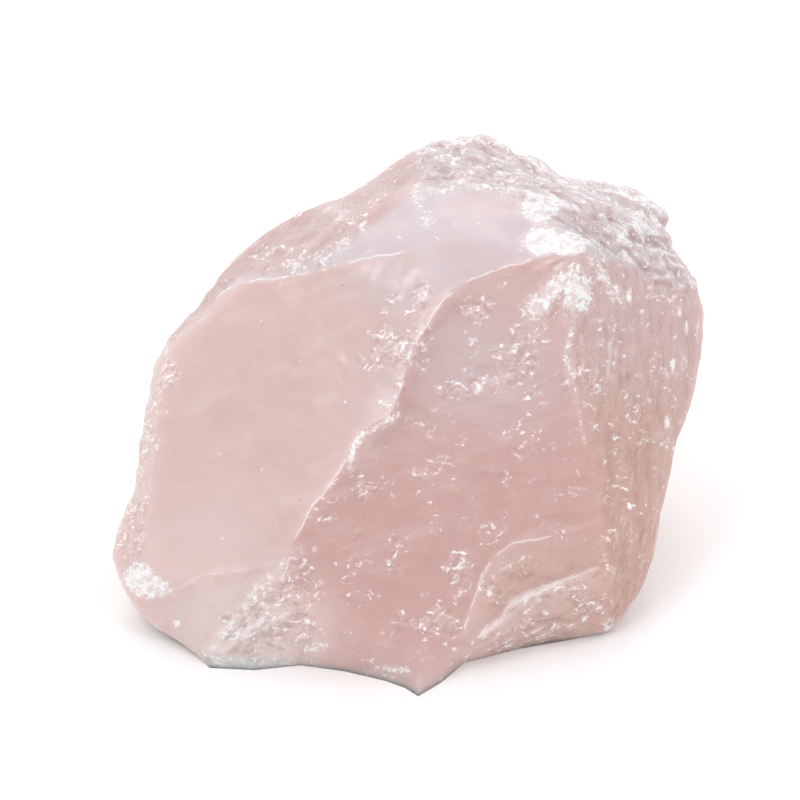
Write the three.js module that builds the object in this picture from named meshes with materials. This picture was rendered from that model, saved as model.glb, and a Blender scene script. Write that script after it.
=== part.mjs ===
// A rough rose quartz chunk, broken from a vein in one piece.
//
// Two broad fracture faces meet along an arched lip: a pale one on the left, and one on the right that
// lies a step lower. A hackled crest runs along the top right, a striated band turns away to the right,
// and the stone leans back on a flat break, so the broad faces look up at whoever stands in front of it.
//
// Units are millimetres. The stone stands on z = 0, x runs to the right and y away from its front.

import * as THREE from "three";
import { ConvexHull } from "three/addons/math/ConvexHull.js";
import { ImprovedNoise } from "three/addons/math/ImprovedNoise.js";
import { mergeVertices } from "three/addons/utils/BufferGeometryUtils.js";

// ---------------------------------------------------------------- driving dimensions

const LEAN = THREE.MathUtils.degToRad(35); // how far the face-on direction is tipped up from the horizon
const FLOOR_DROP = 28.75; // height of the face-on frame's origin above the resting face
const LONGEST_EDGE = 2.75; // mesh edges longer than this are halved
const SOFTENING = { passes: 2, share: 0.22 }; // how much the breaks' edges are worn
const UNEVENNESS = { height: 0.34, wavelength: 9, octaves: 2 }; // on the smooth fracture faces
const HEART = [7, 16, 26]; // a point inside from which the whole surface can be seen
const LOWEST_CORNER = 0.25; // a corner lower than this lies on the resting face

// ---------------------------------------------------------- corners, looking square at the broad faces
// Each is [across, up, out], with the origin in the middle of the view and out towards the viewer.

// The outline of the stone, clockwise from the top of the crest.
const crest = [
  [10.2, 36.2, -9], [13, 35.9, -9], [16, 34.2, -9], [19.2, 33.4, -9.3], [22, 31.2, -9.5],
  [27.5, 30.1, -11], [33, 28.9, -12], [37.4, 26.5, -12.5],
];
const rightSide = [
  [36.9, 23.4, -11.5], [37.7, 20.8, -11], [40.4, 17.4, -11], [41.9, 12.7, -10.5], [41.9, 7, -10],
  [40.6, 0.4, -9], [38.6, -5.2, -8.5], [37, -10.8, -7.8], [35.9, -16, -7.2], [34.9, -21, -6.5],
  [33.2, -25.7, -5.5], [30.6, -29.5, -4.5], [28.4, -32, -3.5],
];
const lowerEdge = [
  [23, -32.8, -3.2], [16.2, -33.9, -1.6], [8.8, -35.6, 0.8], [5.4, -38.2, 4.4], [2.4, -39.8, 6.8],
  [0.6, -38.8, 5.3], [-2, -37.9, 4.1], [-7.4, -36.8, 2.4], [-13.5, -36, 1.3], [-19.6, -36.6, 2.2],
  [-25.7, -36.3, 1.8],
];
const leftSide = [
  [-29.6, -33.8, -0.6], [-33, -31.6, -2], [-35.9, -29.2, -3], [-38.6, -25.3, -3.5], [-39.9, -21.2, -4],
  [-38.7, -17, -4.5], [-36.3, -12.9, -5], [-35.8, -7.5, -5.5], [-35, -1.4, -6], [-33.5, 5.3, -7],
  [-31.7, 8.6, -7.5],
];
const shoulder = [
  [-28.4, 12.1, -8], [-25.8, 15.7, -8], [-22.2, 19.9, -8.5], [-18, 23.4, -9], [-12.4, 26.3, -9],
  [-7.5, 27.6, -9], [-3.5, 30.4, -9], [0, 33.2, -9], [3.5, 34.7, -9], [6.9, 35.5, -9],
];

// The pale face: its worn left border, and the crease where it tips back into the brow above it.
const paleBorder = [
  [-29.9, 8.5, -2], [-31.5, 4.5, -1.6], [-33, -1.4, -1.1], [-33.6, -7.4, 0.1], [-33.8, -13, 1.2],
  [-34.5, -18.9, 1.9], [-31.8, -23.4, 3.6],
];
const browCrease = [
  [-25.4, 11.8, -0.6], [-21.4, 15.4, 0.3], [-17.2, 16.2, 1.9], [-12.1, 17.1, 3.8], [-8.1, 18.2, 5.2],
  [-3.1, 19.4, 7.1], [1.8, 19.8, 9.2],
];
const brow = [
  [-15.3, 18.5, 1.9], [-13.1, 20.2, 1.6], [-10, 22.3, 1.7], [-7.4, 24.6, 1], [-3.4, 26.5, 1],
  [0, 27.7, 1.2], [2.9, 29.3, 0.6], [7, 28.6, 2.2], [13.4, 26.3, 3.8], [5.3, 22.7, 7.3],
  [11.2, 21.6, 8.2], [18.6, 23.4, 4.8],
];

// The arched lip, from the crest's foot down to the lower left, and the foot of the step under it.
const lip = [
  [23.3, 19.8, 6.5], [18.6, 18.9, 8.8], [13.3, 17.5, 10.2], [9.3, 15.9, 11.3], [5.3, 12.9, 12.2],
  [2.6, 8.6, 12.1], [1.1, 4.6, 12.1], [-0.3, 0.7, 12.3], [-1.8, -2.4, 12.4], [-5, -4, 11.6],
  [-6.7, -7.3, 11.5], [-8.9, -10.9, 11.2], [-11.7, -14.2, 10.8], [-14.3, -19, 10.4],
  [-15.5, -23.2, 9.2],
];
const stepFoot = [
  [19, 17.3, 8.3], [13.9, 15.6, 9.2], [10.1, 14.2, 9.6], [6.5, 12.1, 9.6], [3.7, 8.3, 9.7],
  [2.2, 4.2, 9.6], [0.8, 0.2, 9.4], [-0.5, -3.7, 9.2], [-3.8, -5.7, 9.5], [-5.5, -8.6, 9.5],
  [-7.8, -11.8, 9.5], [-10.5, -15.2, 9.6], [-13.2, -19.7, 9.5], [-14.3, -23.6, 8.9],
];

// The rose face under the step, and the long bend where it turns into the striated band.
const roseFace = [
  [10.7, 0, 8.1], [13.4, -13.4, 6.5], [0, -21.3, 7.8], [18.7, 9.4, 7.8], [-8, -28.1, 7.6],
  [3.9, -9.9, 8.4],
];
const bend = [
  [24.4, 18.2, 5.2], [23.2, 13.4, 6.4], [22.4, 8, 6.9], [23.8, 1.4, 6.4], [25.5, -5.4, 5.4],
  [26.6, -12.1, 4.6], [27.1, -18.8, 3.5], [27.7, -25.6, 1.4],
];
const striatedBand = [
  [30.3, 13.5, 1.4], [29.6, 6.8, 2.3], [31, -1.4, 1.4], [31.3, -9.5, 1.1], [31.4, -17.6, 0],
  [30.9, -24.4, -1.6], [36, 10.9, -3.2], [37, 4, -3.6], [35.2, -4, -2.5], [34.7, -12.3, -3.1],
  [33.4, -19.7, -3.4],
];

// The hackled crest above the brow and the bend.
const hackles = [
  [4.1, 32, -3], [9.5, 31.9, -2], [14.9, 30.3, -2], [20.4, 27.8, -2.6], [25.9, 26.6, -3.6],
  [31.4, 25.5, -5.2], [10.1, 28.3, 1.8], [16.1, 26.9, 2], [21.5, 23.5, 2.8], [26.9, 21.6, 1.3],
  [31.9, 21, -1.7], [35.4, 17.7, -4.6],
];

// The lower breaks: two scallops at the lower right, the faces rounding off towards the ground, and the
// splintered corner at the lower left.
const scallops = [
  [9.4, -30.2, 6.1], [11.8, -25.6, 6.1], [13.8, -21.5, 6], [17.2, -17.5, 5.6], [21.5, -16.4, 5],
  [25.5, -16.2, 4.6], [17.8, -22.2, 4.4], [23.4, -20.8, 3.4], [12.2, -32.1, 4.4], [15.4, -27.5, 4.6],
  [20.2, -25.5, 3.8], [26.3, -24.6, 2], [18.6, -28.9, 2.6],
];
const foot = [
  [-10.6, -29.6, 7.4], [-4.8, -30.4, 7.2], [1.4, -31.4, 6.7], [6, -31.2, 6.1], [-13.8, -33.4, 4],
  [-7.6, -34.2, 4.4], [-2.2, -35.2, 5], [2.4, -37, 7], [6.2, -35.4, 5], [10.4, -34, 3],
  [16.4, -32.2, 1.4], [23, -31, -0.2], [27.6, -29.4, -1.4],
];
const lowerLeft = [
  [-31.8, -27, 1.2], [-26.4, -24.7, 5.2], [-20.3, -22.7, 8], [-27.7, -30, 2.6], [-21.6, -32, 3.8],
  [-18.4, -28.2, 6.2], [-34.5, -25.6, 0.4],
];

// ---------------------------------------------------------- corners of the back and the base, [x, y, z]

const base = [
  [30, -8, 0], [31.5, 2, 0], [26.5, 13, 0], [15, 20.5, 0], [-1, 23.5, 0], [-14, 20, 0], [-25, 11, 0],
  [-30.5, 1, 0], [-30, -10, 0],
];
const upperBack = [
  [4, 30.3, 46], [22, 29.4, 43.4], [-2, 31.5, 41], [14, 34, 36.5], [30, 30.5, 37], [-18, 26.6, 36.6],
  [-31, 16, 25],
];
const middleBack = [
  [20, 33.8, 22], [3, 31.6, 30], [-8, 32.5, 23], [-23, 24.5, 13], [-28.5, 18.5, 17.5], [-34.5, 5, 13],
  [36.8, 17, 20], [34, 24, 30], [28, 25, 24],
];
const lowerBack = [
  [33.4, 21.5, 9], [18, 28, 5.5], [-2, 29.6, 8], [-16, 24.6, 3.5], [-29, 11, 5], [-34, -3, 4],
  [34.4, 6, 5], [34.6, 2, 11], [27, 20.5, 2.5],
];

// Rough places, where the break is torn. `height` is the size of the unevenness there.
const roughPlaces = [
  { centre: [16, 18, 46], radius: 22, height: 0.75 },
  { centre: [37, -2, 22], radius: 17, height: 0.55 },
  { centre: [-22, -22, 8], radius: 15, height: 0.5 },
];

// ---------------------------------------------------------------- building

// Stands a face-on point up on its resting face.
function standUp([across, up, out]) {
  return new THREE.Vector3(
    across,
    up * Math.sin(LEAN) - out * Math.cos(LEAN),
    up * Math.cos(LEAN) + out * Math.sin(LEAN) + FLOOR_DROP,
  );
}

// Every corner in the standing frame.
function allCorners() {
  const faceOn = [
    crest, rightSide, lowerEdge, leftSide, shoulder, paleBorder, browCrease, brow, lip, stepFoot, roseFace,
    bend, striatedBand, hackles, foot, scallops, lowerLeft,
  ];
  const standing = [base, upperBack, middleBack, lowerBack].flat();
  const corners = [...faceOn.flat().map(standUp), ...standing.map((c) => new THREE.Vector3(...c))];
  for (const corner of corners) if (corner.z < LOWEST_CORNER) corner.z = 0;
  return corners;
}

// Joins corners into one closed surface. Seen from the heart they are points on a sphere, and the hull of
// those points says which three corners make each triangle.
function joinByDirection(corners, heart) {
  const cornerTowards = new Map(corners.map((c) => [c.clone().sub(heart).normalize(), c]));
  const positions = [];
  for (const face of new ConvexHull().setFromPoints([...cornerTowards.keys()]).faces) {
    let edge = face.edge;
    do {
      positions.push(...cornerTowards.get(edge.head().point));
      edge = edge.next;
    } while (edge !== face.edge);
  }
  return mergeVertices(
    new THREE.BufferGeometry().setAttribute("position", new THREE.Float32BufferAttribute(positions, 3)),
  );
}

const edgeName = (a, b) => `${Math.min(a, b)},${Math.max(a, b)}`;

// Halves the longest edge of every triangle, again and again until none is longer than LONGEST_EDGE, and
// returns the points and the triangles.
function refine(geometry) {
  const { position } = geometry.attributes;
  const points = Array.from({ length: position.count }, (_, i) =>
    new THREE.Vector3().fromBufferAttribute(position, i),
  );
  let triangles = Array.from({ length: geometry.index.count / 3 }, (_, t) =>
    [0, 1, 2].map((k) => geometry.index.getX(3 * t + k)),
  );
  const span = ([a, b]) => points[a].distanceTo(points[b]);
  for (let halved = true; halved; ) {
    const middles = new Map();
    for (const [a, b, c] of triangles) {
      const [longest] = [[a, b], [b, c], [c, a]].sort((one, other) => span(other) - span(one));
      if (span(longest) <= LONGEST_EDGE || middles.has(edgeName(...longest))) continue;
      const [from, to] = longest.map((corner) => points[corner]);
      middles.set(edgeName(...longest), points.push(from.clone().lerp(to, 0.5)) - 1);
    }
    const middle = (a, b) => middles.get(edgeName(a, b)) ?? -1;
    triangles = triangles.flatMap(([a, b, c]) =>
      splitTriangle([a, b, c], [middle(a, b), middle(b, c), middle(c, a)], points),
    );
    halved = middles.size > 0;
  }
  return { points, triangles };
}

// Splits one triangle at the middles of its halved edges. mids[k] lies between corners k and k + 1, or is -1.
function splitTriangle(t, mids, points) {
  const halved = mids.filter((m) => m >= 0).length;
  if (halved === 0) return [t];
  if (halved === 3) {
    const [ab, bc, ca] = mids;
    return [[t[0], ab, ca], [ab, t[1], bc], [ca, bc, t[2]], [ab, bc, ca]];
  }
  // Turned so that one halved edge is the first, and of two halved edges the third is the whole one.
  const turn = halved === 1 ? mids.findIndex((m) => m >= 0) : (mids.findIndex((m) => m < 0) + 1) % 3;
  const [a, b, c] = [0, 1, 2].map((k) => t[(k + turn) % 3]);
  const [ab, bc] = [0, 1].map((k) => mids[(k + turn) % 3]);
  if (halved === 1) return [[a, ab, c], [ab, b, c]];
  const across = points[a].distanceTo(points[bc]) < points[ab].distanceTo(points[c]);
  return across ? [[ab, b, bc], [a, ab, bc], [a, bc, c]] : [[ab, b, bc], [a, ab, c], [ab, bc, c]];
}

const onBase = (point) => point.z < 1e-6;

// Wears the edges by moving each point a share of the way to the middle of its neighbours.
function soften({ points, triangles }) {
  const neighbours = points.map(() => new Set());
  for (const [a, b, c] of triangles) {
    neighbours[a].add(b).add(c);
    neighbours[b].add(c).add(a);
    neighbours[c].add(a).add(b);
  }
  for (let pass = 0; pass < SOFTENING.passes; pass++) {
    const middles = neighbours.map((near) => {
      const sum = new THREE.Vector3();
      for (const n of near) sum.add(points[n]);
      return sum.divideScalar(near.size);
    });
    points.forEach((point, i) => onBase(point) || point.lerp(middles[i], SOFTENING.share));
  }
}

// How uneven the break is at a point, in millimetres.
function unevennessAt(point) {
  return roughPlaces.reduce((height, { centre, radius, height: more }) => {
    const near = 1 - Math.min(1, point.distanceTo(new THREE.Vector3(...centre)) / radius);
    return height + more * near * near * (3 - 2 * near);
  }, UNEVENNESS.height);
}

const noise = new ImprovedNoise();

// Noise of several octaves, each half as long and a little over half as high as the one before.
function layeredNoise(point) {
  let [sum, height, scale] = [0, 1, 1 / UNEVENNESS.wavelength];
  for (let octave = 0; octave < UNEVENNESS.octaves; octave++) {
    const [x, y, z] = point.toArray().map((along) => along * scale);
    sum += height * noise.noise(x + 7.1 * octave, y + 3.7, z + 11.3);
    height *= 0.55;
    scale *= 2.1;
  }
  return sum;
}

// Roughens the stone along its normals, all but the resting face.
function roughen(geometry) {
  geometry.computeVertexNormals();
  const { position, normal } = geometry.attributes;
  const point = new THREE.Vector3();
  const outward = new THREE.Vector3();
  for (let i = 0; i < position.count; i++) {
    point.fromBufferAttribute(position, i);
    if (onBase(point)) continue;
    outward.fromBufferAttribute(normal, i);
    point.addScaledVector(outward, unevennessAt(point) * layeredNoise(point));
    position.setXYZ(i, point.x, point.y, Math.max(point.z, 0));
  }
  return geometry;
}

function roseQuartzGeometry() {
  const { points, triangles } = refine(joinByDirection(allCorners(), new THREE.Vector3(...HEART)));
  soften({ points, triangles });
  const geometry = new THREE.BufferGeometry().setFromPoints(points).setIndex(triangles.flat());
  roughen(geometry).computeVertexNormals();
  return geometry;
}

// Moves the geometry so that its origin is the middle of its box, on the resting face.
function standOnOrigin(geometry) {
  geometry.computeBoundingBox();
  const middle = geometry.boundingBox.getCenter(new THREE.Vector3());
  return geometry.translate(-middle.x, -middle.y, -geometry.boundingBox.min.z);
}

const roseQuartz = new THREE.MeshStandardMaterial({ color: 0xdcbcb8, roughness: 0.3, metalness: 0 });
const chunk = new THREE.Mesh(standOnOrigin(roseQuartzGeometry()), roseQuartz);
chunk.name = "rose_quartz_chunk";

const stone = new THREE.Group();
stone.add(chunk);

export default stone;
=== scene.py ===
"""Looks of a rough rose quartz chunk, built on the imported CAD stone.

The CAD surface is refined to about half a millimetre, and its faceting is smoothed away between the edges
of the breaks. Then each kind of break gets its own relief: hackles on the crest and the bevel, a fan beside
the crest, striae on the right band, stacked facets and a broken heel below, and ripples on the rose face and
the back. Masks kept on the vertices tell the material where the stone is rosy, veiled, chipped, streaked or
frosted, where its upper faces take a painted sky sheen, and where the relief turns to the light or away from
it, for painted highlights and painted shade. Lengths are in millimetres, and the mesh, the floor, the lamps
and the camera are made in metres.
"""

import math

import bpy
import numpy as np
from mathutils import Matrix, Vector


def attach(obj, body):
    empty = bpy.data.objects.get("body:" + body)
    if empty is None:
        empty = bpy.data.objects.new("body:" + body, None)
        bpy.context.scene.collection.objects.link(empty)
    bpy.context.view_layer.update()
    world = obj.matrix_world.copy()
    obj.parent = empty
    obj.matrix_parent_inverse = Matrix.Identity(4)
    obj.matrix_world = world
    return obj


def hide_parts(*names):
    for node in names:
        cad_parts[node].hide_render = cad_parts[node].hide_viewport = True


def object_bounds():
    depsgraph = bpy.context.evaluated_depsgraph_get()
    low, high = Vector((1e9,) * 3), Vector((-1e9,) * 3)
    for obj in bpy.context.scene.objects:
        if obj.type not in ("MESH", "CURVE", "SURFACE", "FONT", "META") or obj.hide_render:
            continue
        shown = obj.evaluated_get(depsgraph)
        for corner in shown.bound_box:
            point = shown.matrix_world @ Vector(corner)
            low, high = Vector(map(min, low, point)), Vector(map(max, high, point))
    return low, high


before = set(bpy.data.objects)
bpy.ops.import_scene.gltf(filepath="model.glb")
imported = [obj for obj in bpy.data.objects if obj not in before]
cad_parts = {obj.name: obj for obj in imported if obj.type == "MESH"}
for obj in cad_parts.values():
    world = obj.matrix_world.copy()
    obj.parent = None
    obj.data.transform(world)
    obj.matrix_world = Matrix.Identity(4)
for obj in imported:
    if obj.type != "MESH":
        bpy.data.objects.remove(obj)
cad_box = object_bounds()

# ------------------------------------------------------------------ the face-on frame, in millimetres
# [across, up, out]: square at the broad faces, which lean back by LEAN, with its origin amid them.

LEAN = math.radians(35)
MIDDLE = np.array([-1.35, -3.25, 28.75])  # the face-on origin in the row frame
ACROSS = np.array([1.0, 0.0, 0.0])
UP = np.array([0.0, math.sin(LEAN), math.cos(LEAN)])
OUT = np.array([0.0, -math.cos(LEAN), math.sin(LEAN)])
FACE_ON = np.stack([ACROSS, UP, OUT])


def face_on(points):
    return (points - MIDDLE) @ FACE_ON.T


# ------------------------------------------------------------------ numeric helpers


def smoothstep(low, high, value):
    t = np.clip((value - low) / (high - low), 0, 1)
    return t * t * (3 - 2 * t)


PERMUTATION = np.tile(np.random.default_rng(11).permutation(256), 3)
GRADIENTS = np.random.default_rng(12).normal(size=(256, 3))
GRADIENTS /= np.linalg.norm(GRADIENTS, axis=1)[:, None]


def noise(points):
    """Gradient noise between about -1 and 1, with a wavelength of one unit."""
    cell = np.floor(points).astype(int)
    local = points - cell
    blend = local**3 * (local * (local * 6 - 15) + 10)
    total = np.zeros(len(points))
    for corner in np.ndindex(2, 2, 2):
        x, y, z = ((cell + corner) & 255).T
        gradient = GRADIENTS[PERMUTATION[PERMUTATION[PERMUTATION[x] + y] + z]]
        weight = np.prod(np.where(corner, blend, 1 - blend), axis=1)
        total += weight * np.einsum("ij,ij->i", gradient, local - corner)
    return total * 1.5


OCTAVE = 2.03  # how much finer each octave of noise is than the one before
GAIN = 0.5  # and how much weaker


def layered(points, wavelength, octaves=3):
    """Noise of several octaves; its longest waves are `wavelength` millimetres long."""
    return sum(GAIN**k * noise(points / wavelength * OCTAVE**k + 17.3 * k) for k in range(octaves))


def creased(points, wavelength, octaves=3):
    """Noise with narrow ridges, from 0 in the hollows to 1 on the ridges."""
    total = 0
    for k in range(octaves):
        total += GAIN**k * (1 - np.abs(noise(points / wavelength * OCTAVE**k + 31.7 * k)))
    return total / sum(GAIN**k for k in range(octaves))


def near_line(places, corners, width):
    """1 on the line through the corners, falling to 0 at `width` from it. Both are [across, up]."""
    nearest = np.full(len(places), np.inf)
    for start, end in zip(corners[:-1], corners[1:]):
        start, along = np.array(start, float), np.subtract(end, start)
        share = np.clip((places - start) @ along / (along @ along), 0, 1)
        nearest = np.minimum(nearest, np.linalg.norm(places - start - share[:, None] * along, axis=1))
    return 1 - smoothstep(0, width, nearest)


def near_spot(places, spot, radii):
    """1 at the spot, falling to 0 on the ellipse of those radii round it."""
    return 1 - smoothstep(0.25, 1, np.linalg.norm((places - spot) / radii, axis=1))


# ------------------------------------------------------------------ the refined surface


def welded(obj):
    """Points (mm) and triangles of a CAD node, with its split corners joined again."""
    mesh = obj.data
    mesh.calc_loop_triangles()
    points = np.empty(3 * len(mesh.vertices), np.float32)
    corners = np.empty(3 * len(mesh.loop_triangles), np.int32)
    mesh.vertices.foreach_get("co", points)
    mesh.loop_triangles.foreach_get("vertices", corners)
    points, joined = np.unique(points.reshape(-1, 3), axis=0, return_inverse=True)
    return points.astype(float) * 1000, joined.reshape(-1)[corners].reshape(-1, 3)


def edges_of(triangles):
    """Every edge once, and for each triangle its three edges, first to second corner and so on."""
    pairs = np.sort(triangles[:, [0, 1, 1, 2, 2, 0]].reshape(-1, 2), axis=1)
    edges, index = np.unique(pairs, axis=0, return_inverse=True)
    return edges, index.reshape(-1, 3)


def quartered(points, triangles):
    """Splits each triangle into four at the middles of its edges."""
    edges, edge = edges_of(triangles)
    a, b, c = triangles.T
    ab, bc, ca = edge.T + len(points)
    smaller = [[a, ab, ca], [ab, b, bc], [ca, bc, c], [ab, bc, ca]]
    middles = points[edges].mean(axis=1)
    return np.concatenate([points, middles]), np.concatenate([np.array(corners).T for corners in smaller])


def normals_of(points, triangles):
    """Face normals (with the area as their length) and unit vertex normals."""
    a, b, c = points[triangles].transpose(1, 0, 2)
    faces = np.cross(b - a, c - a) / 2
    at_points = np.zeros_like(points)
    for k in range(3):
        np.add.at(at_points, triangles[:, k], faces)
    return faces, at_points / np.linalg.norm(at_points, axis=1)[:, None]


def sharpness_of(points, triangles):
    """How far the surface bends at each point's sharpest edge, in degrees."""
    faces, _ = normals_of(points, triangles)
    faces /= np.linalg.norm(faces, axis=1)[:, None]
    edges, edge = edges_of(triangles)
    order = np.argsort(edge.reshape(-1), kind="stable")
    first, second = (order // 3).reshape(-1, 2).T
    bend = np.degrees(np.arccos(np.clip(np.einsum("ij,ij->i", faces[first], faces[second]), -1, 1)))
    sharpest = np.zeros(len(points))
    np.maximum.at(sharpest, edges[:, 0], bend)
    np.maximum.at(sharpest, edges[:, 1], bend)
    return sharpest


def neighbour_mean(values, edges):
    """For each point the mean of the values at its neighbours."""
    ends, others = np.concatenate([edges, edges[:, ::-1]]).T
    count = np.bincount(ends)
    sums = [np.bincount(ends, column[others]) / count for column in np.atleast_2d(values.T)]
    return np.array(sums).T.reshape(values.shape)


def relaxed(points, edges, share, passes):
    """Draws each point towards the middle of its neighbours by its share of the way, again and again."""
    for _ in range(passes):
        points = points + share[:, None] * (neighbour_mean(points, edges) - points)
    return points


# Where the coarse creases die out, as (share, spot, radii): at the right end of the brow's lower edge, beside
# it, at the top of the brow, and above the tip of the foot.
FADED_CREASES = [(1, (4.5, 19.5), (9, 6)), (0.8, (0, 17.5), (5.5, 4.5)), (0.7, (12, 26), (7, 4)),
                 (0.5, (1.5, -33), (4, 6))]

points, triangles = welded(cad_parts["rose_quartz_chunk"])
edges, _ = edges_of(triangles)
places = face_on(points)
faded = sum(share * near_spot(places[:, :2], spot, radii) for share, spot, radii in FADED_CREASES)
faded = np.minimum(faded, 1) * (places[:, 2] > 0) * (points[:, 2] > 0)
points = relaxed(points, edges, 0.6 * faded, 16)

REFINEMENTS = 2  # each makes the triangles half as wide
for _ in range(REFINEMENTS):
    points, triangles = quartered(points, triangles)
edges, _ = edges_of(triangles)
on_base = points[:, 2] < 1e-3
sharpness = sharpness_of(points, triangles)
softening = 0.5 * (1 - 0.82 * smoothstep(16, 34, sharpness))
points = relaxed(points, edges, np.where(on_base, 0, softening), 10)

edge_wear = smoothstep(18, 42, sharpness)
for _ in range(4):
    edge_wear = 0.5 * edge_wear + 0.5 * neighbour_mean(edge_wear, edges)

# ------------------------------------------------------------------ where each kind of break is

_, normals = normals_of(points, triangles)
places = face_on(points)
flat = places[:, :2]
across, up, out = places.T
in_front = smoothstep(-0.05, 0.2, normals @ OUT)  # 1 where the stone faces the viewer, 0 where it faces away
behind = 1 - in_front
warp = layered(places, 9, 3)  # bends the grooves and the ripples

# Lines on the faces: the step between the two broad faces, the bend into the right band, the upper edges of
# the two facets, the lower edge of the brow, and the ridges of the heel.
STEP = [(23.6, 20), (18.8, 19), (13.5, 17.6), (9.4, 16), (5.4, 13), (2.7, 8.7), (1.1, 4.6), (-0.2, 0.8),
        (-1.7, -2.4), (-5, -4), (-6.7, -7.3), (-8.9, -10.9), (-11.7, -14.2), (-14.3, -19), (-15.7, -24),
        (-16.2, -29)]
BEND = [(24.4, 18.2), (23.2, 13.4), (22.4, 8), (23.8, 1.4), (25.5, -5.4), (26.6, -12.1), (27.1, -18.8),
        (27.7, -25.6)]
FACET_EDGES = [[(8.6, -30.5), (11, -23.6), (12.7, -20.9), (15.4, -19.1), (24.2, -17.6)],
               [(8.4, -36), (9.8, -32.3), (13.6, -29.3), (14.9, -27.1), (18, -25.8), (24.8, -23.2)]]
BROW_LINE = [(-25, 14), (-22, 15.9), (-17.2, 16.3), (-12.1, 17.1), (-8.2, 18.2), (-3.1, 19.2), (0, 19.6)]
RIDGES = [[(-34.2, -26.9), (-30.4, -25.6), (-26.1, -23.3), (-22.4, -22.9), (-15.6, -21.3)],
          [(-25.9, -34.2), (-21.7, -29.5), (-18.3, -24.6), (-13.3, -20)],
          [(-25.1, -34.2), (-20, -31.3), (-15, -28.5)]]
FACET_REACH = 3.5  # how far below its upper edge a facet is raised and pale


def right_of(line, softness):
    """0 left of a line that runs down the stone, 1 right of it."""
    line = np.array(line)[::-1]
    return smoothstep(-softness, softness, across - np.interp(up, line[:, 1], line[:, 0]))


def above(corners, softness=1.5):
    """1 above a line that runs from left to right, 0 below it."""
    xs, ys = zip(*corners)
    return smoothstep(-softness, softness, up - np.interp(across, xs, ys))


right = right_of(STEP, 0.5)  # of the step
crest = above([(2, 31), (4, 28.3), (9, 29), (16.6, 27.5), (21, 23), (24, 19.8), (29, 18.5), (38, 15)])
crest *= in_front * smoothstep(0, 5, across)
bevel = above([(-31, 8), (-22, 16.5), (-15, 17.6), (-8, 21), (-4, 23.2), (0, 27), (5, 30)], 0.8) * in_front
bevel *= 1 - smoothstep(1, 5, across)
band = right_of(BEND, 1.8) * (1 - crest) * in_front
rose_face = right * (1 - band) * (1 - crest) * in_front
pale_face = (1 - right) * (1 - crest) * (1 - bevel) * in_front
brow = above([(-25.4, 13.5), (-22, 15.9), (-17.2, 16.3), (-8.2, 18.2), (1.7, 19.8), (6, 21.5)], 0.35)
brow *= pale_face
facets = near_spot(flat, (20, -29), (15, 13)) * right * in_front
heel = near_spot(flat, (-20, -31), (17, 13)) * in_front


def most(*marks):
    """The strongest of some marks on the front.

    A mark is (strength, width, corner, corner, ...) along a line, or (strength, radii, spot) round a spot.
    """
    strongest = np.zeros(len(points))
    for strength, width, *corners in marks:
        if len(corners) > 1:
            reach = near_line(flat, corners, width)
        else:
            reach = near_spot(flat, corners[0], width)
        strongest = np.maximum(strongest, strength * reach)
    return strongest * in_front


# ------------------------------------------------------------------ relief


def stepped(value, sharp=0.75):
    """A wave that rises slowly and drops quickly, between 0 and 1, with a period of 1."""
    phase = value - np.floor(value)
    return np.where(phase < sharp, phase / sharp, (1 - phase) / (1 - sharp))


def grooves(first, second, spacing, stretch):
    """Ridges `spacing` apart along the second direction, drawn out along the first, from 0 to 1."""
    drawn = np.stack([first / stretch, second + 0.8 * warp, out / 2], axis=1)
    return creased(drawn, 2 * spacing, 3)


def offset_from(line):
    """Distance to a line on the face, above 0 on its lower right side and below 0 on its upper left."""
    nearest = np.full(len(points), np.inf)
    side = np.ones(len(points))
    for start, end in zip(line[:-1], line[1:]):
        start, along = np.array(start, float), np.subtract(end, start)
        offset = flat - start
        share = np.clip(offset @ along / (along @ along), 0, 1)
        distance = np.linalg.norm(offset - share[:, None] * along, axis=1)
        closer = distance < nearest
        nearest[closer] = distance[closer]
        side[closer] = np.sign(along[1] * offset[closer, 0] - along[0] * offset[closer, 1])
    return side * nearest


def beside(line, reach):
    """Rises to 1 just below-right of a line and falls away over `reach`."""
    offset = offset_from(line)
    return smoothstep(-0.5, 0.5, offset) * np.exp(-np.abs(offset) / reach)


# Gentle unevenness everywhere, less on the pale face.
height = 0.08 * layered(points, 5, 3) * (1 - 0.7 * pale_face) + 0.03 * layered(points + 50, 1.6, 2)

# Grooves across an area, as (area, depth, rise to the right per millimetre, spacing, stretch): the hackles of
# the crest, the lines of the facets, and the coarse hackles of the bevel.
SLANTING_GROOVES = [(crest, 1.3, -0.4, 1.9, 3.5), (facets, 0.3, 0.5, 1.2, 4), (bevel, 1.1, 0.6, 3.4, 2.2)]
GROOVE_MEAN = 0.65  # of grooves(), about
for area, depth, rise, spacing, stretch in SLANTING_GROOVES:
    cut = grooves(across + rise * up, up - rise * across, spacing, stretch)
    height += area * depth * (cut - GROOVE_MEAN)
height += band * 0.55 * (grooves(up, across + 0.1 * up, 1.2, 4.5) - GROOVE_MEAN)  # striae, down the band
LEDGE_SPACING = 3.1
ledges = stepped((up + 0.45 * across) / LEDGE_SPACING + 1.3 * warp)  # on the crest, down to the right
height += crest * 0.3 * (ledges - 0.5)

FAN_APEX = 23.8, 20  # the fan's ribs spread from here
FAN_RADIUS = 19  # the ribs' angles are measured as arcs at this radius
fan_across, fan_down = across - FAN_APEX[0], FAN_APEX[1] - up
fan_places = [FAN_RADIUS * np.arctan2(fan_across, fan_down), np.hypot(fan_across, fan_down) / 3, out]
fan_ribs = creased(np.stack(fan_places, axis=1), 4)
fan = most((1, (6.5, 7), (21.8, 14.5)))
height += fan * 0.6 * (fan_ribs - 0.6)

for line in FACET_EDGES:
    height += facets * (0.4 * beside(line, FACET_REACH) - 0.1)
height += heel * 0.3 * (creased(places + 9, 4, 3) - 0.65)
height += heel * 0.2 * most(*((1, 1.3, *line) for line in RIDGES))

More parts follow.
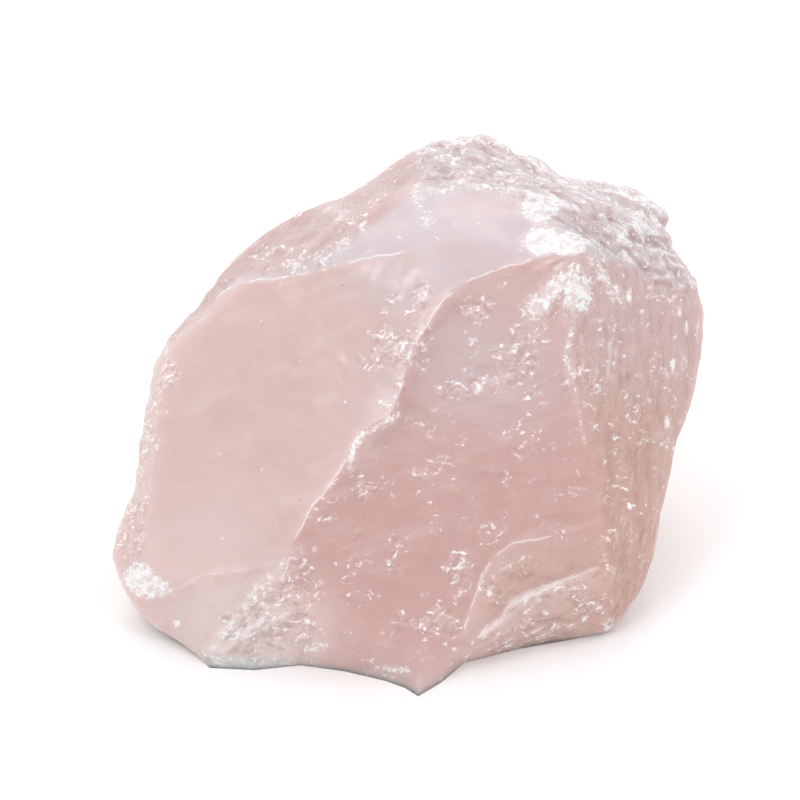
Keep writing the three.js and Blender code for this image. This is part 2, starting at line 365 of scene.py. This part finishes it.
# Ripples run round the point where a break was struck: faint ones on the rose face, and others on the sides
# and the back, where each set is on the side that faces the given way.
FACE_CENTRE = 20, 25
FACE_SPACING = 4.5
BACK_SPACING = 3.9
ripples = np.hypot(across - FACE_CENTRE[0], up - FACE_CENTRE[1]) / FACE_SPACING + 0.4 * warp
height += rose_face * 0.10 * (stepped(ripples, 0.8) - 0.5)
BACK_RIPPLES = [((-34, 6, 30), (-0.7, 0.7, 0.1)), ((0, 30, 52), (0.1, 0.9, 0.35)),
                ((40, 20, 34), (0.8, 0.55, -0.1)), ((-10, 34, 0), (-0.2, 0.85, -0.5)),
                ((-36, -10, 4), (-0.95, -0.1, -0.2))]
for centre, towards in BACK_RIPPLES:
    towards = np.array(towards) / np.linalg.norm(towards)
    patch = behind * smoothstep(0.72, 0.9, normals @ towards)
    rings = np.linalg.norm(points - centre, axis=1) + 1.6 * warp
    height += patch * 0.3 * (stepped(rings / BACK_SPACING) - 0.5)
height += behind * 0.3 * (creased(points, 7, 3) - 0.62)
height -= 0.12 * edge_wear * smoothstep(0.0, 0.5, layered(points + 5, 2.2, 2))

height[on_base] = 0
points = points + height[:, None] * normals
points[:, 2] = np.maximum(points[:, 2], 0)
low, high = (np.array(corner) * 1000 for corner in cad_box)
points = np.clip(points, low, high)

# How the fine relief turns to a light above the broad faces; the material paints highlights and shade into
# the colour from it.
_, tilted = normals_of(points, triangles)
LIGHT = np.array([-0.25, 0.8, 0.3]) @ FACE_ON  # towards the light, above the broad faces
lit = (tilted - normals) @ LIGHT  # above 0 where the relief turns to the light

# ------------------------------------------------------------------ masks for the material
# Marks are given on the front, as most() takes them.

# Frost: white, splintered quartz; among its marks are painted glints on the right band.
FROST_AND_GLINT_MARKS = [
    # patches between the brow and the crest, and the fan beside them
    (1.3, (4, 3), (18.9, 25.9)), (1.3, (3.6, 2.8), (18.9, 21.2)), (1.3, (4.2, 2.4), (22.2, 20.8)),
    (0.6, 2.2, (2, 28.3), (4, 23.5)), (0.6, 1.8, (4.4, 28.3), (9.4, 29.2), (16.6, 27.7)),
    (0.45, (3, 5), (23.6, 15)), (0.4, 2.6, (22.5, 16), (17.8, 12)),
    # the thread below the fan
    (0.6, 1.0, (23.4, 11), (22.1, 5.9), (23.1, 3.1)), (0.5, 0.6, (23.1, 3.1), (23.8, -1.1), (24.7, -5.8)),
    # the crest
    (0.8, (3.5, 4), (33.5, 23.5)), (0.6, (3, 3), (29.5, 22.5)), (0.5, (9, 2.8), (9, 34.3)),
    (0.6, 1.6, (3, 33.5), (9.5, 35.3), (13.5, 35), (17.8, 32.7), (22, 30), (27.5, 29), (33, 27.3),
     (36.5, 25.5)),
    (0.45, 1.3, (5, 31.5), (12, 31.5), (18, 29.5), (24, 27), (30, 24.5)),
    (0.4, 1.2, (24, 22), (31, 19), (37, 17)),
    # the bevel and the lower edge of the brow
    (0.55, 2.6, (-14.8, 17.8), (-11.4, 19.3), (-7.4, 21)), (0.5, 2.2, (-9.5, 25.9), (-4.6, 22.7)),
    (0.5, 0.6, (-22, 15.9), (-17.2, 16.3), (-12.1, 17.1), (-8.2, 18.2), (-3, 19.2)),
    # the notch in the step, and a nick below it
    (0.75, 1.2, (-0.3, -1.9), (-2.8, -3.6), (-4.8, -4.5), (-6.1, -6.1), (-6.6, -9.0)),
    (0.5, (3, 2.6), (-2.2, -0.6)), (0.6, 0.8, (-8.5, -10.6), (-9.5, -11.6)),
    # the heel and its ridges
    (1.3, (3.3, 3.6), (-35.3, -24.2)), (1.1, (3.6, 2.4), (-33.2, -25.2)), (0.7, (1.2, 1), (-30.3, -30.1)),
    (0.5, 1.2, *RIDGES[0][:2]), (0.55, 1.8, *RIDGES[1]), (0.5, 1.5, *RIDGES[2]),
    # the lower edge and the facets
    (0.6, 1.8, (-24.7, -35), (-20.9, -35.6), (-14.8, -35.6)), (0.5, (3, 2.4), (-11.4, -32.9)),
    (0.8, 0.9, (-2.1, -36), (0.9, -36.2)), (0.6, (2, 1.6), (28.5, -30.5)),
    (0.4, 0.8, *FACET_EDGES[0][:4]), (0.45, 0.8, *FACET_EDGES[1][:4]),
    # painted glints on the right band
    *((1.3, (0.5, 1.5), spot) for spot in [(38.1, 12.2), (39.2, 9.9), (37, 4.6), (36.3, -3), (31, 14)]),
]
FAN_MARKS = [(1, (3.4, 5.6), (23.4, 15)), (0.9, 3, (22.8, 17), (17.8, 12)), (0.7, 2, (26, 19), (29.5, 13.5))]
fan_frost = most(*FAN_MARKS) * smoothstep(0.56, 0.72, fan_ribs)
worn = edge_wear * smoothstep(-0.3, 0.5, layered(points, 4, 2))
veins = smoothstep(0.84, 0.96, creased(points + 20, 11, 3))
veins *= smoothstep(-0.1, 0.5, layered(points + 25, 15, 2))
# Frost, with the painted glints on the right band in it.
frost = np.maximum.reduce([most(*FROST_AND_GLINT_MARKS), fan_frost, 0.5 * worn, 0.8 * behind * veins, 0.27 * crest])

# White threads run along the torn edges: `rift` is the offset from the nearest one.
torn_edges = [(1, line) for line in (STEP[:15], BROW_LINE, *FACET_EDGES)] + [(0.55, line) for line in RIDGES]
offsets = np.array([offset_from(line) for _, line in torn_edges])
rift = offsets[np.argmin(np.abs(offsets), axis=0), np.arange(len(points))]
torn = most(*((strength, 1.6, *line) for strength, line in torn_edges))
torn *= smoothstep(-0.5, 0.1, layered(places + 60, 5, 2))

# Chips: little curled flakes.
CHIP_MARKS = [
    # along the step, on both sides of it
    (0.6, (6.5, 8), (-0.7, 7)), (0.5, (4, 5), (2, 12)), (0.6, (4.5, 4), (10.4, 12.4)),
    (0.7, (3, 3), (-4, -12)),
    # the upper and the middle rose face
    (0.75, (5.5, 5.5), (16.5, 7)), (0.75, (3, 5), (24, 2)), (1, 2.0, (5.5, 0.8), (10.7, 2), (15.1, 2.8)),
    (0.7, (3, 3), (13.4, -8.7)), (0.75, 1.6, (2.7, -10.1), (8.3, -6.7)),
    # the lower rose face
    (0.95, (3.6, 2.8), (8, -22.2)), (0.9, (3.5, 4.5), (0, -21)), (0.75, (6, 5), (4, -29)),
    # the heel and the left edge
    (1, (8.5, 7), (-17, -30)), (0.9, (3.5, 5), (-13.5, -25)), (0.8, (3, 6), (-36, -18)),
    (0.55, 2.5, (-36.5, -18), (-35, -8), (-33, 0), (-31, 6)),
    # the bevel and the top
    (0.8, (4, 2), (-7, 24)), (0.9, (5, 2.2), (-11.5, 19.3)), (0.6, (6, 3), (-17, 19)),
    (0.8, (9, 4), (12, 31)),
]
chips = np.maximum.reduce([
    most(*CHIP_MARKS), 0.09 * rose_face, 0.2 * crest, 0.35 * facets, 0.14 * band, 0.1 * bevel,
    0.8 * behind * smoothstep(-0.3, 0.7, layered(points + 70, 11, 2)),
])
chipped = chips + 1.2 * smoothstep(0, 0.25, chips) * (layered(places + 33, 3.2, 3) - 0.12)

thick = smoothstep(13, -16, up)  # the stone gets thicker downwards
clouds = 0.5 * layered(places + 77, 11, 4) + 0.25 * grooves(up, across, 2.2, 8) - 0.15

# Rosiness of the body.
rose = rose_face * (0.42 + 0.52 * thick) + band * (0.55 + 0.3 * thick) + 0.1 * crest + 0.35 * bevel
rose += behind * (0.42 + 0.3 * layered(points + 90, 20, 2))
rose += 0.7 * most((1, 1.8, (-20.5, 20.8), (-13.7, 24.6), (-9.6, 26.9)),
                   (1, 1.2, (-32.3, -31.2), (-27.7, -34.3)))
rose += 0.45 * clouds - 0.15 * heel - 0.3 * near_spot(flat, (0, -37), (9, 7)) * right

# Lilac veils: on the brow, left of the step, on the crest, and at the top of the rose face. On the brow and
# the pale face above the step the lilac is partly a painted reflection of the sky.
border = near_line(flat, STEP[1:9], 7) * pale_face
# Painted sky reflection, with a lilac tint, on the upper pale face.
sheen_and_veil = above([(-6, 30), (1.7, 19.8), (6, 14), (24, 14)], 2.5) * pale_face * smoothstep(0, 4, across)
lilac = (0.95 + clouds) * np.maximum.reduce([brow, sheen_and_veil, 0.6 * border])
lilac += 0.85 * crest + 0.3 * bevel + 0.35 * band * (1 - thick)
lilac += 0.5 * most((1, (15, 12), (12, 4))) * rose_face + 0.55 * near_spot(flat, (-1, 16), (9, 6)) * pale_face
lilac += 0.5 * behind * smoothstep(0, 0.6, layered(places + 140, 18, 2))

tan = band * (0.2 + 0.75 * thick) + 0.75 * facets + 0.3 * behind

# Milky places.
pale = np.maximum.reduce([
    *(facets * beside(line, FACET_REACH) for line in FACET_EDGES),
    0.9 * heel,
    0.4 * near_spot(flat, (-27, -20), (15, 12)) * pale_face,
    behind * smoothstep(0.1, 0.7, layered(points + 120, 16, 3)),
])

# Streaks that run up to the right: on the facets, the heel, the bevel and the back.
streaked = np.maximum.reduce([facets, 0.6 * heel, 0.7 * bevel, 0.8 * behind * smoothstep(0, 0.5, warp)])

RIFT_REACH = 8  # mm of offset that the rift mask spans, from -4 to 4
MASKS = {
    "frost": frost, "chipped": chipped, "rose": rose, "lilac": lilac, "tan": tan, "pale": pale,
    "crest": crest, "band": band, "streaked": streaked, "bevel": bevel,
    "torn": torn, "rift": 0.5 + rift / RIFT_REACH, "lit": 0.5 + lit,
}
SHARP_EDGE = 38  # degrees


def stone_mesh():
    mesh = bpy.data.meshes.new("rose_quartz")
    mesh.vertices.add(len(points))
    mesh.vertices.foreach_set("co", (points / 1000).astype(np.float32).reshape(-1))
    mesh.loops.add(triangles.size)
    mesh.loops.foreach_set("vertex_index", triangles.astype(np.int32).reshape(-1))
    mesh.polygons.add(len(triangles))
    mesh.polygons.foreach_set("loop_start", np.arange(0, triangles.size, 3, dtype=np.int32))
    mesh.update(calc_edges=True)
    mesh.validate()
    mesh.polygons.foreach_set("use_smooth", np.ones(len(triangles), bool))
    mesh.set_sharp_from_angle(angle=math.radians(SHARP_EDGE))
    for name, values in MASKS.items():
        attribute = mesh.attributes.new(name, "FLOAT", "POINT")
        attribute.data.foreach_set("value", np.clip(values, 0, 1).astype(np.float32))
    return mesh


# ------------------------------------------------------------------ material


def srgb(r, g, b):
    channels = [c / 255 for c in (r, g, b)]
    return tuple(c / 12.92 if c <= 0.04045 else ((c + 0.055) / 1.055) ** 2.4 for c in channels) + (1,)


class Nodes:
    """Short ways to add and join shader nodes."""

    def __init__(self, material):
        self.tree = material.node_tree
        self.tree.nodes.clear()

    def add(self, kind, **settings):
        node = self.tree.nodes.new(kind)
        for name, value in settings.items():
            setattr(node, name, value)
        return node

    def join(self, source, socket):
        if hasattr(source, "is_output"):
            self.tree.links.new(source, socket)
        else:
            socket.default_value = source

    def mask(self, name):
        return self.add("ShaderNodeAttribute", attribute_name=name).outputs["Fac"]

    def math(self, operation, a, b=0.0, clamp=False):
        node = self.add("ShaderNodeMath", operation=operation, use_clamp=clamp)
        self.join(a, node.inputs[0])
        self.join(b, node.inputs[1])
        return node.outputs[0]

    def plus(self, a, b):
        return self.math("ADD", a, b)

    def minus(self, a, b):
        return self.math("SUBTRACT", a, b)

    def times(self, a, b):
        return self.math("MULTIPLY", a, b)

    def most(self, first, *others):
        for other in others:
            first = self.math("MAXIMUM", first, other)
        return first

    def noise(self, vector, scale, detail=3.0, roughness=0.5, distortion=0.0):
        node = self.add("ShaderNodeTexNoise")
        self.join(vector, node.inputs["Vector"])
        node.inputs["Scale"].default_value = scale
        node.inputs["Detail"].default_value = detail
        node.inputs["Roughness"].default_value = roughness
        node.inputs["Distortion"].default_value = distortion
        return node.outputs["Fac"]

    def step(self, value, low, high):
        """0 below low, 1 above high, smooth between. A low above the high turns it round."""
        node = self.add("ShaderNodeMapRange", interpolation_type="SMOOTHSTEP")
        turned = low > high
        self.join(value, node.inputs["Value"])
        node.inputs["From Min"].default_value = min(low, high)
        node.inputs["From Max"].default_value = max(low, high)
        node.inputs["To Min"].default_value = 1.0 if turned else 0.0
        node.inputs["To Max"].default_value = 0.0 if turned else 1.0
        return node.outputs["Result"]

    def mix(self, share, a, b):
        node = self.add("ShaderNodeMix", data_type="RGBA")
        self.join(share, node.inputs["Factor"])
        self.join(a, node.inputs[6])
        self.join(b, node.inputs[7])
        return node.outputs[2]

    def blend(self, share, a, b):
        node = self.add("ShaderNodeMix", data_type="FLOAT")
        self.join(share, node.inputs["Factor"])
        self.join(a, node.inputs[2])
        self.join(b, node.inputs[3])
        return node.outputs[0]

    def streaks(self, vector, angle, along, across):
        """Noise drawn out at an angle from the across axis, in degrees; its scales are per millimetre."""
        turned = self.add("ShaderNodeMapping", vector_type="TEXTURE")
        self.join(vector, turned.inputs["Vector"])
        turned.inputs["Rotation"].default_value = (0, 0, math.radians(angle))
        turned.inputs["Scale"].default_value = (1 / along, 1 / across, 1 / across)
        return self.noise(turned.outputs["Vector"], 1, 4, 0.6)

    def shifted(self, vector, by):
        node = self.add("ShaderNodeVectorMath", operation="ADD")
        self.join(vector, node.inputs[0])
        node.inputs[1].default_value = by
        return node.outputs[0]

    def warped(self, vector, scale, much):
        """The vector moved about by noise, by up to half of `much` each way."""
        source = self.add("ShaderNodeTexNoise")
        self.join(vector, source.inputs["Vector"])
        source.inputs["Scale"].default_value = scale
        source.inputs["Detail"].default_value = 2.0
        centred = self.add("ShaderNodeVectorMath", operation="SUBTRACT")
        self.join(source.outputs["Color"], centred.inputs[0])
        centred.inputs[1].default_value = (0.5, 0.5, 0.5)
        node = self.add("ShaderNodeVectorMath", operation="MULTIPLY_ADD")
        self.join(centred.outputs[0], node.inputs[0])
        node.inputs[1].default_value = (much, much, much)
        self.join(vector, node.inputs[2])
        return node.outputs[0]

    def cells(self, vector, scale):
        node = self.add("ShaderNodeTexVoronoi", feature="F1")
        self.join(vector, node.inputs["Vector"])
        node.inputs["Scale"].default_value = scale
        return node


PALE_PINK = 213, 188, 184
DEEP_ROSE = 205, 168, 164
LILAC_VEIL_AND_SHEEN = 207, 193, 197
TAN = 202, 164, 153
MILK = 230, 214, 210
# The colour of painted shade: in grooves, on the far sides of chips, on the bevel and in pits.
PAINTED_SHADE_ROSE = 182, 146, 142
# Also the colour of the painted glints and highlights.
FROST_AND_HIGHLIGHT_WHITE = 250, 248, 249

# Runs of streaks, as (mask, strength, angle in degrees, scale along, scale across), with the scales per
# millimetre: down to the right on the crest, up to the right on the streaked places, and down the band.
STREAK_RUNS = [("crest", 1.5, -22, 0.17, 0.8), ("streaked", 1.0, 30, 0.28, 0.75),
               ("band", 0.95, 83, 0.16, 0.8)]

QUARTZ_IOR = 1.54
GLOW_DEPTH = 0.005  # m that light wanders under the surface
GLOW_SPREAD = 1.0, 0.8, 0.78  # shares of it for red, green and blue


def face_on_places(n):
    """Where the shaded point is: [across, up, out] in millimetres, as face_on() gives it."""
    mapping = n.add("ShaderNodeMapping")
    n.join(n.add("ShaderNodeTexCoord").outputs["Object"], mapping.inputs["Vector"])
    mapping.inputs["Scale"].default_value = (1000, 1000, 1000)
    mapping.inputs["Rotation"].default_value = (LEAN - math.pi / 2, 0, 0)
    mapping.inputs["Location"].default_value = tuple(-FACE_ON @ MIDDLE)
    return mapping.outputs["Vector"]


def body_colour(n, place, mottle):
    """Pale, rosier where it is deep, lilac (on the brow and the upper pale face partly a painted sky sheen),
    tan or milky in places, faintly mottled.
    """
    rosy = n.math("ADD", n.mask("rose"), n.times(mottle, 0.8), clamp=True)
    colour = n.mix(rosy, srgb(*PALE_PINK), srgb(*DEEP_ROSE))
    colour = n.mix(n.mask("lilac"), colour, srgb(*LILAC_VEIL_AND_SHEEN))
    colour = n.mix(n.mask("tan"), colour, srgb(*TAN))
    ghosts = n.step(n.streaks(n.warped(place, 0.1, 3), 14, 0.035, 0.42), 0.52, 0.72)
    milky = n.most(n.times(n.mask("pale"), 0.75), n.times(n.mask("chipped"), 0.3), n.times(ghosts, 0.25))
    return n.mix(milky, colour, srgb(*MILK))


def curled_chips(n, place, chipped):
    """Little curled flakes: their relief, its tilt to the light, a painted glint where they turn to the
    light, and painted shade where they turn away.
    """
    bent = n.warped(place, 0.5, 1.8)
    curls = n.noise(bent, 0.8, 2, 0.5, 0.3)
    beyond = n.noise(n.shifted(bent, (0.11, -0.27, 0.12)), 0.8, 2, 0.5, 0.3)
    tilt = n.minus(curls, beyond)
    # Painted glint: white where the curls tilt to the light.
    painted_chip_glint = n.step(n.plus(tilt, n.times(chipped, 0.03)), 0.055, 0.15)
    painted_chip_glint = n.times(n.times(painted_chip_glint, n.step(chipped, 0.02, 0.25)), n.step(n.noise(place, 1.1, 1), 0.25, 0.65))
    # Painted shade: darker where the curls tilt away from the light.
    painted_chip_shade = n.times(n.step(tilt, -0.015, -0.085), n.step(chipped, 0.05, 0.6))
    return curls, tilt, painted_chip_glint, painted_chip_shade


def white_threads(n, mottle):
    """Thin white lines that wander along the torn edges."""
    offset = n.times(n.minus(n.mask("rift"), 0.5), RIFT_REACH)
    offset = n.math("ABSOLUTE", n.plus(offset, n.times(mottle, 1.2)))
    return n.times(n.step(offset, 0.22, 0.05), n.step(n.mask("torn"), 0.3, 0.8))


def streak_relief(n, place):
    """Streaks of hackles and striae, above and below 0."""
    loose = n.warped(place, 0.35, 2.2)
    runs = 0.0
    for name, strength, angle, along, across in STREAK_RUNS:
        run = n.minus(n.streaks(loose, angle, along, across), 0.5)
        runs = n.plus(runs, n.times(run, n.times(n.mask(name), strength)))
    return runs


def sparks_and_pits(n, place):
    """Scattered white grains, and small pits that take painted shade."""
    grain = n.cells(n.warped(place, 1.6, 1.4), 0.55)
    sparks = n.times(n.step(grain.outputs["Distance"], 0.15, 0.05), n.step(grain.outputs["Color"], 0.70, 0.9))
    hole = n.cells(n.shifted(place, (5, 5, 5)), 0.38)
    pits = n.times(n.step(hole.outputs["Distance"], 0.07, 0.03), n.step(hole.outputs["Color"], 0.62, 0.66))
    return sparks, pits


def broken_frost(n, place, frost, runs, tilt):
    """The icy relief under the frost, and where the frost is solid: in shreds, with painted light on it,
    whiter where the chips' relief tilts to the light and dimmer, as painted shade, where it turns away.
    """
    ice = n.minus(n.noise(n.warped(place, 0.9, 1.6), 1.3, 5, 0.68, 0.8), 0.5)
    ice = n.times(ice, n.blend(n.step(frost, 0.5, 1.0), 2.4, 1.5))
    ice = n.plus(ice, n.times(runs, 2.0))
    solid = n.times(n.step(n.plus(frost, ice), 0.48, 0.74), n.step(frost, 0.05, 0.3))
    # Painted light and shade: the solid frost is dimmed where the relief tilts away from the light.
    solid = n.times(solid, n.plus(n.times(n.step(tilt, -0.09, 0.07), 0.55), 0.43))
    return ice, solid


def bumped(n, height):
    """The normal over a relief in millimetres."""
    bump = n.add("ShaderNodeBump")
    n.join(height, bump.inputs["Height"])
    bump.inputs["Strength"].default_value = 1.0
    bump.inputs["Distance"].default_value = 0.001
    return bump.outputs["Normal"]


def rose_quartz():
    material = bpy.data.materials.new("rose_quartz")
    material.use_nodes = True
    n = Nodes(material)
    place = face_on_places(n)
    frost, chipped, crest = n.mask("frost"), n.mask("chipped"), n.mask("crest")
    mottle = n.minus(n.noise(n.shifted(place, (0, 50, 0)), 0.42, 5, 0.68), 0.5)
    curls, tilt, painted_chip_glint, painted_chip_shade = curled_chips(n, place, chipped)
    runs = streak_relief(n, place)
    sparks, pits = sparks_and_pits(n, place)
    ice, solid = broken_frost(n, place, frost, runs, tilt)

    # Painted highlight and painted shade: streaks are painted white where they turn to the light and rosy in
    # their grooves, where they turn away. The far sides of the chips take the same painted shade, and the
    # whole bevel is darkened a little.
    lit = n.plus(n.minus(n.mask("lit"), 0.5), n.times(runs, 0.8))
    glassy = n.most(chipped, n.times(crest, 0.75))
    lit_streak_highlight = n.times(n.step(lit, 0.06, 0.22), n.plus(n.times(glassy, 0.6), 0.4))
    painted_shade_and_dark_bevel = n.most(n.step(lit, -0.04, -0.24), n.times(painted_chip_shade, 0.7), n.times(n.mask("bevel"), 0.3))

    # White: the frost, threads and sparks, and the painted glints and the painted highlights on the streaks.
    white = n.most(solid, n.times(frost, 0.28), n.times(painted_chip_glint, 0.9), n.times(white_threads(n, mottle), 0.45),
                   n.times(lit_streak_highlight, 0.75), n.times(sparks, 0.6))
    colour = body_colour(n, place, mottle)
    # Painted shade, and the bevel darkened a little.
    colour = n.mix(n.times(painted_shade_and_dark_bevel, 0.62), colour, srgb(*PAINTED_SHADE_ROSE))
    # Painted shade in the pits.
    colour = n.mix(n.times(pits, 0.5), colour, srgb(*PAINTED_SHADE_ROSE))
    colour = n.mix(white, colour, srgb(*FROST_AND_HIGHLIGHT_WHITE))

    # Relief finer than the mesh, in millimetres.
    fine = n.noise(place, 1.3, 4, 0.6)
    rough = n.math("ADD", chipped, n.plus(crest, frost), clamp=True)
    relief = n.times(fine, n.plus(n.times(rough, 0.06), 0.015))
    relief = n.plus(relief, n.times(n.times(curls, chipped), 0.4))
    relief = n.plus(relief, n.times(runs, 1.3))
    relief = n.plus(relief, n.times(n.times(ice, frost), 0.2))
    relief = n.minus(relief, n.times(pits, 0.1))

    shader = n.add("ShaderNodeBsdfPrincipled")
    n.join(colour, shader.inputs["Base Color"])
    n.join(n.blend(white, n.blend(n.step(fine, 0.3, 0.7), 0.13, 0.26), 0.42), shader.inputs["Roughness"])
    n.join(bumped(n, relief), shader.inputs["Normal"])
    shader.inputs["IOR"].default_value = QUARTZ_IOR
    shader.inputs["Subsurface Weight"].default_value = 1.0
    shader.inputs["Subsurface Radius"].default_value = GLOW_SPREAD
    shader.inputs["Subsurface Scale"].default_value = GLOW_DEPTH
    output = n.add("ShaderNodeOutputMaterial")
    n.join(shader.outputs["BSDF"], output.inputs["Surface"])
    return material


stone = bpy.data.objects.new("rose_quartz_stone", stone_mesh())
bpy.context.scene.collection.objects.link(stone)
stone.data.materials.append(rose_quartz())
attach(stone, "root")
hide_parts("rose_quartz_chunk")

# ------------------------------------------------------------------ floor, light and camera


FLOOR_SIZE = 6  # m
FLOOR_GREY = 0.93
SKY = 0.84  # strength of the white surroundings
LAMP_DISTANCE = 1.1  # m, from the origin

# Lamps, as area_light() takes them.
LAMPS = [("key", -165, 60, 0.9, 2.5), ("behind", 170, 26, 0.3, 2.0), ("left", -62, 62, 0.4, 2.0),
         ("right", 60, 45, 0.25, 1.6)]

EYE = 600  # mm from the face-on origin
VIEW_WIDTH = 108.1  # mm across the picture at that distance
SENSOR = 36  # mm


def matt(name, grey):
    material = bpy.data.materials.new(name)
    material.use_nodes = True
    shader = material.node_tree.nodes["Principled BSDF"]
    shader.inputs["Base Color"].default_value = (grey, grey, grey, 1)
    shader.inputs["Roughness"].default_value = 1.0
    shader.inputs["Specular IOR Level"].default_value = 0.0
    return material


def area_light(name, azimuth, elevation, size, watts):
    """A square light aimed at the stone. Azimuth 0 is in front of it and 90 to its right, in degrees."""
    light = bpy.data.lights.new(name, "AREA")
    light.size = size
    light.energy = watts
    a, e = math.radians(azimuth), math.radians(elevation)
    lamp = bpy.data.objects.new(name, light)
    level = LAMP_DISTANCE * math.cos(e)
    lamp.location = (level * math.sin(a), -level * math.cos(a), LAMP_DISTANCE * math.sin(e))
    lamp.rotation_euler = (-lamp.location).to_track_quat("-Z", "Y").to_euler()
    bpy.context.scene.collection.objects.link(lamp)


bpy.ops.mesh.primitive_plane_add(size=FLOOR_SIZE)
floor = bpy.context.object
floor.name = "floor"
floor.data.materials.append(matt("floor", FLOOR_GREY))

for lamp in LAMPS:
    area_light(*lamp)

scene = bpy.context.scene
scene.world = bpy.data.worlds.new("studio")
scene.world.use_nodes = True
sky = scene.world.node_tree.nodes["Background"]
sky.inputs["Color"].default_value = (1, 1, 1, 1)
sky.inputs["Strength"].default_value = SKY
scene.view_settings.view_transform = "Standard"

camera = bpy.data.objects.new("camera", bpy.data.cameras.new("camera"))
camera.data.sensor_width = SENSOR
camera.data.lens = SENSOR * EYE / VIEW_WIDTH
camera.location = tuple((MIDDLE + EYE * OUT) / 1000)
camera.rotation_euler = (math.pi / 2 - LEAN, 0, 0)
camera.data.clip_start = 0.01
scene.collection.objects.link(camera)
scene.camera = camera
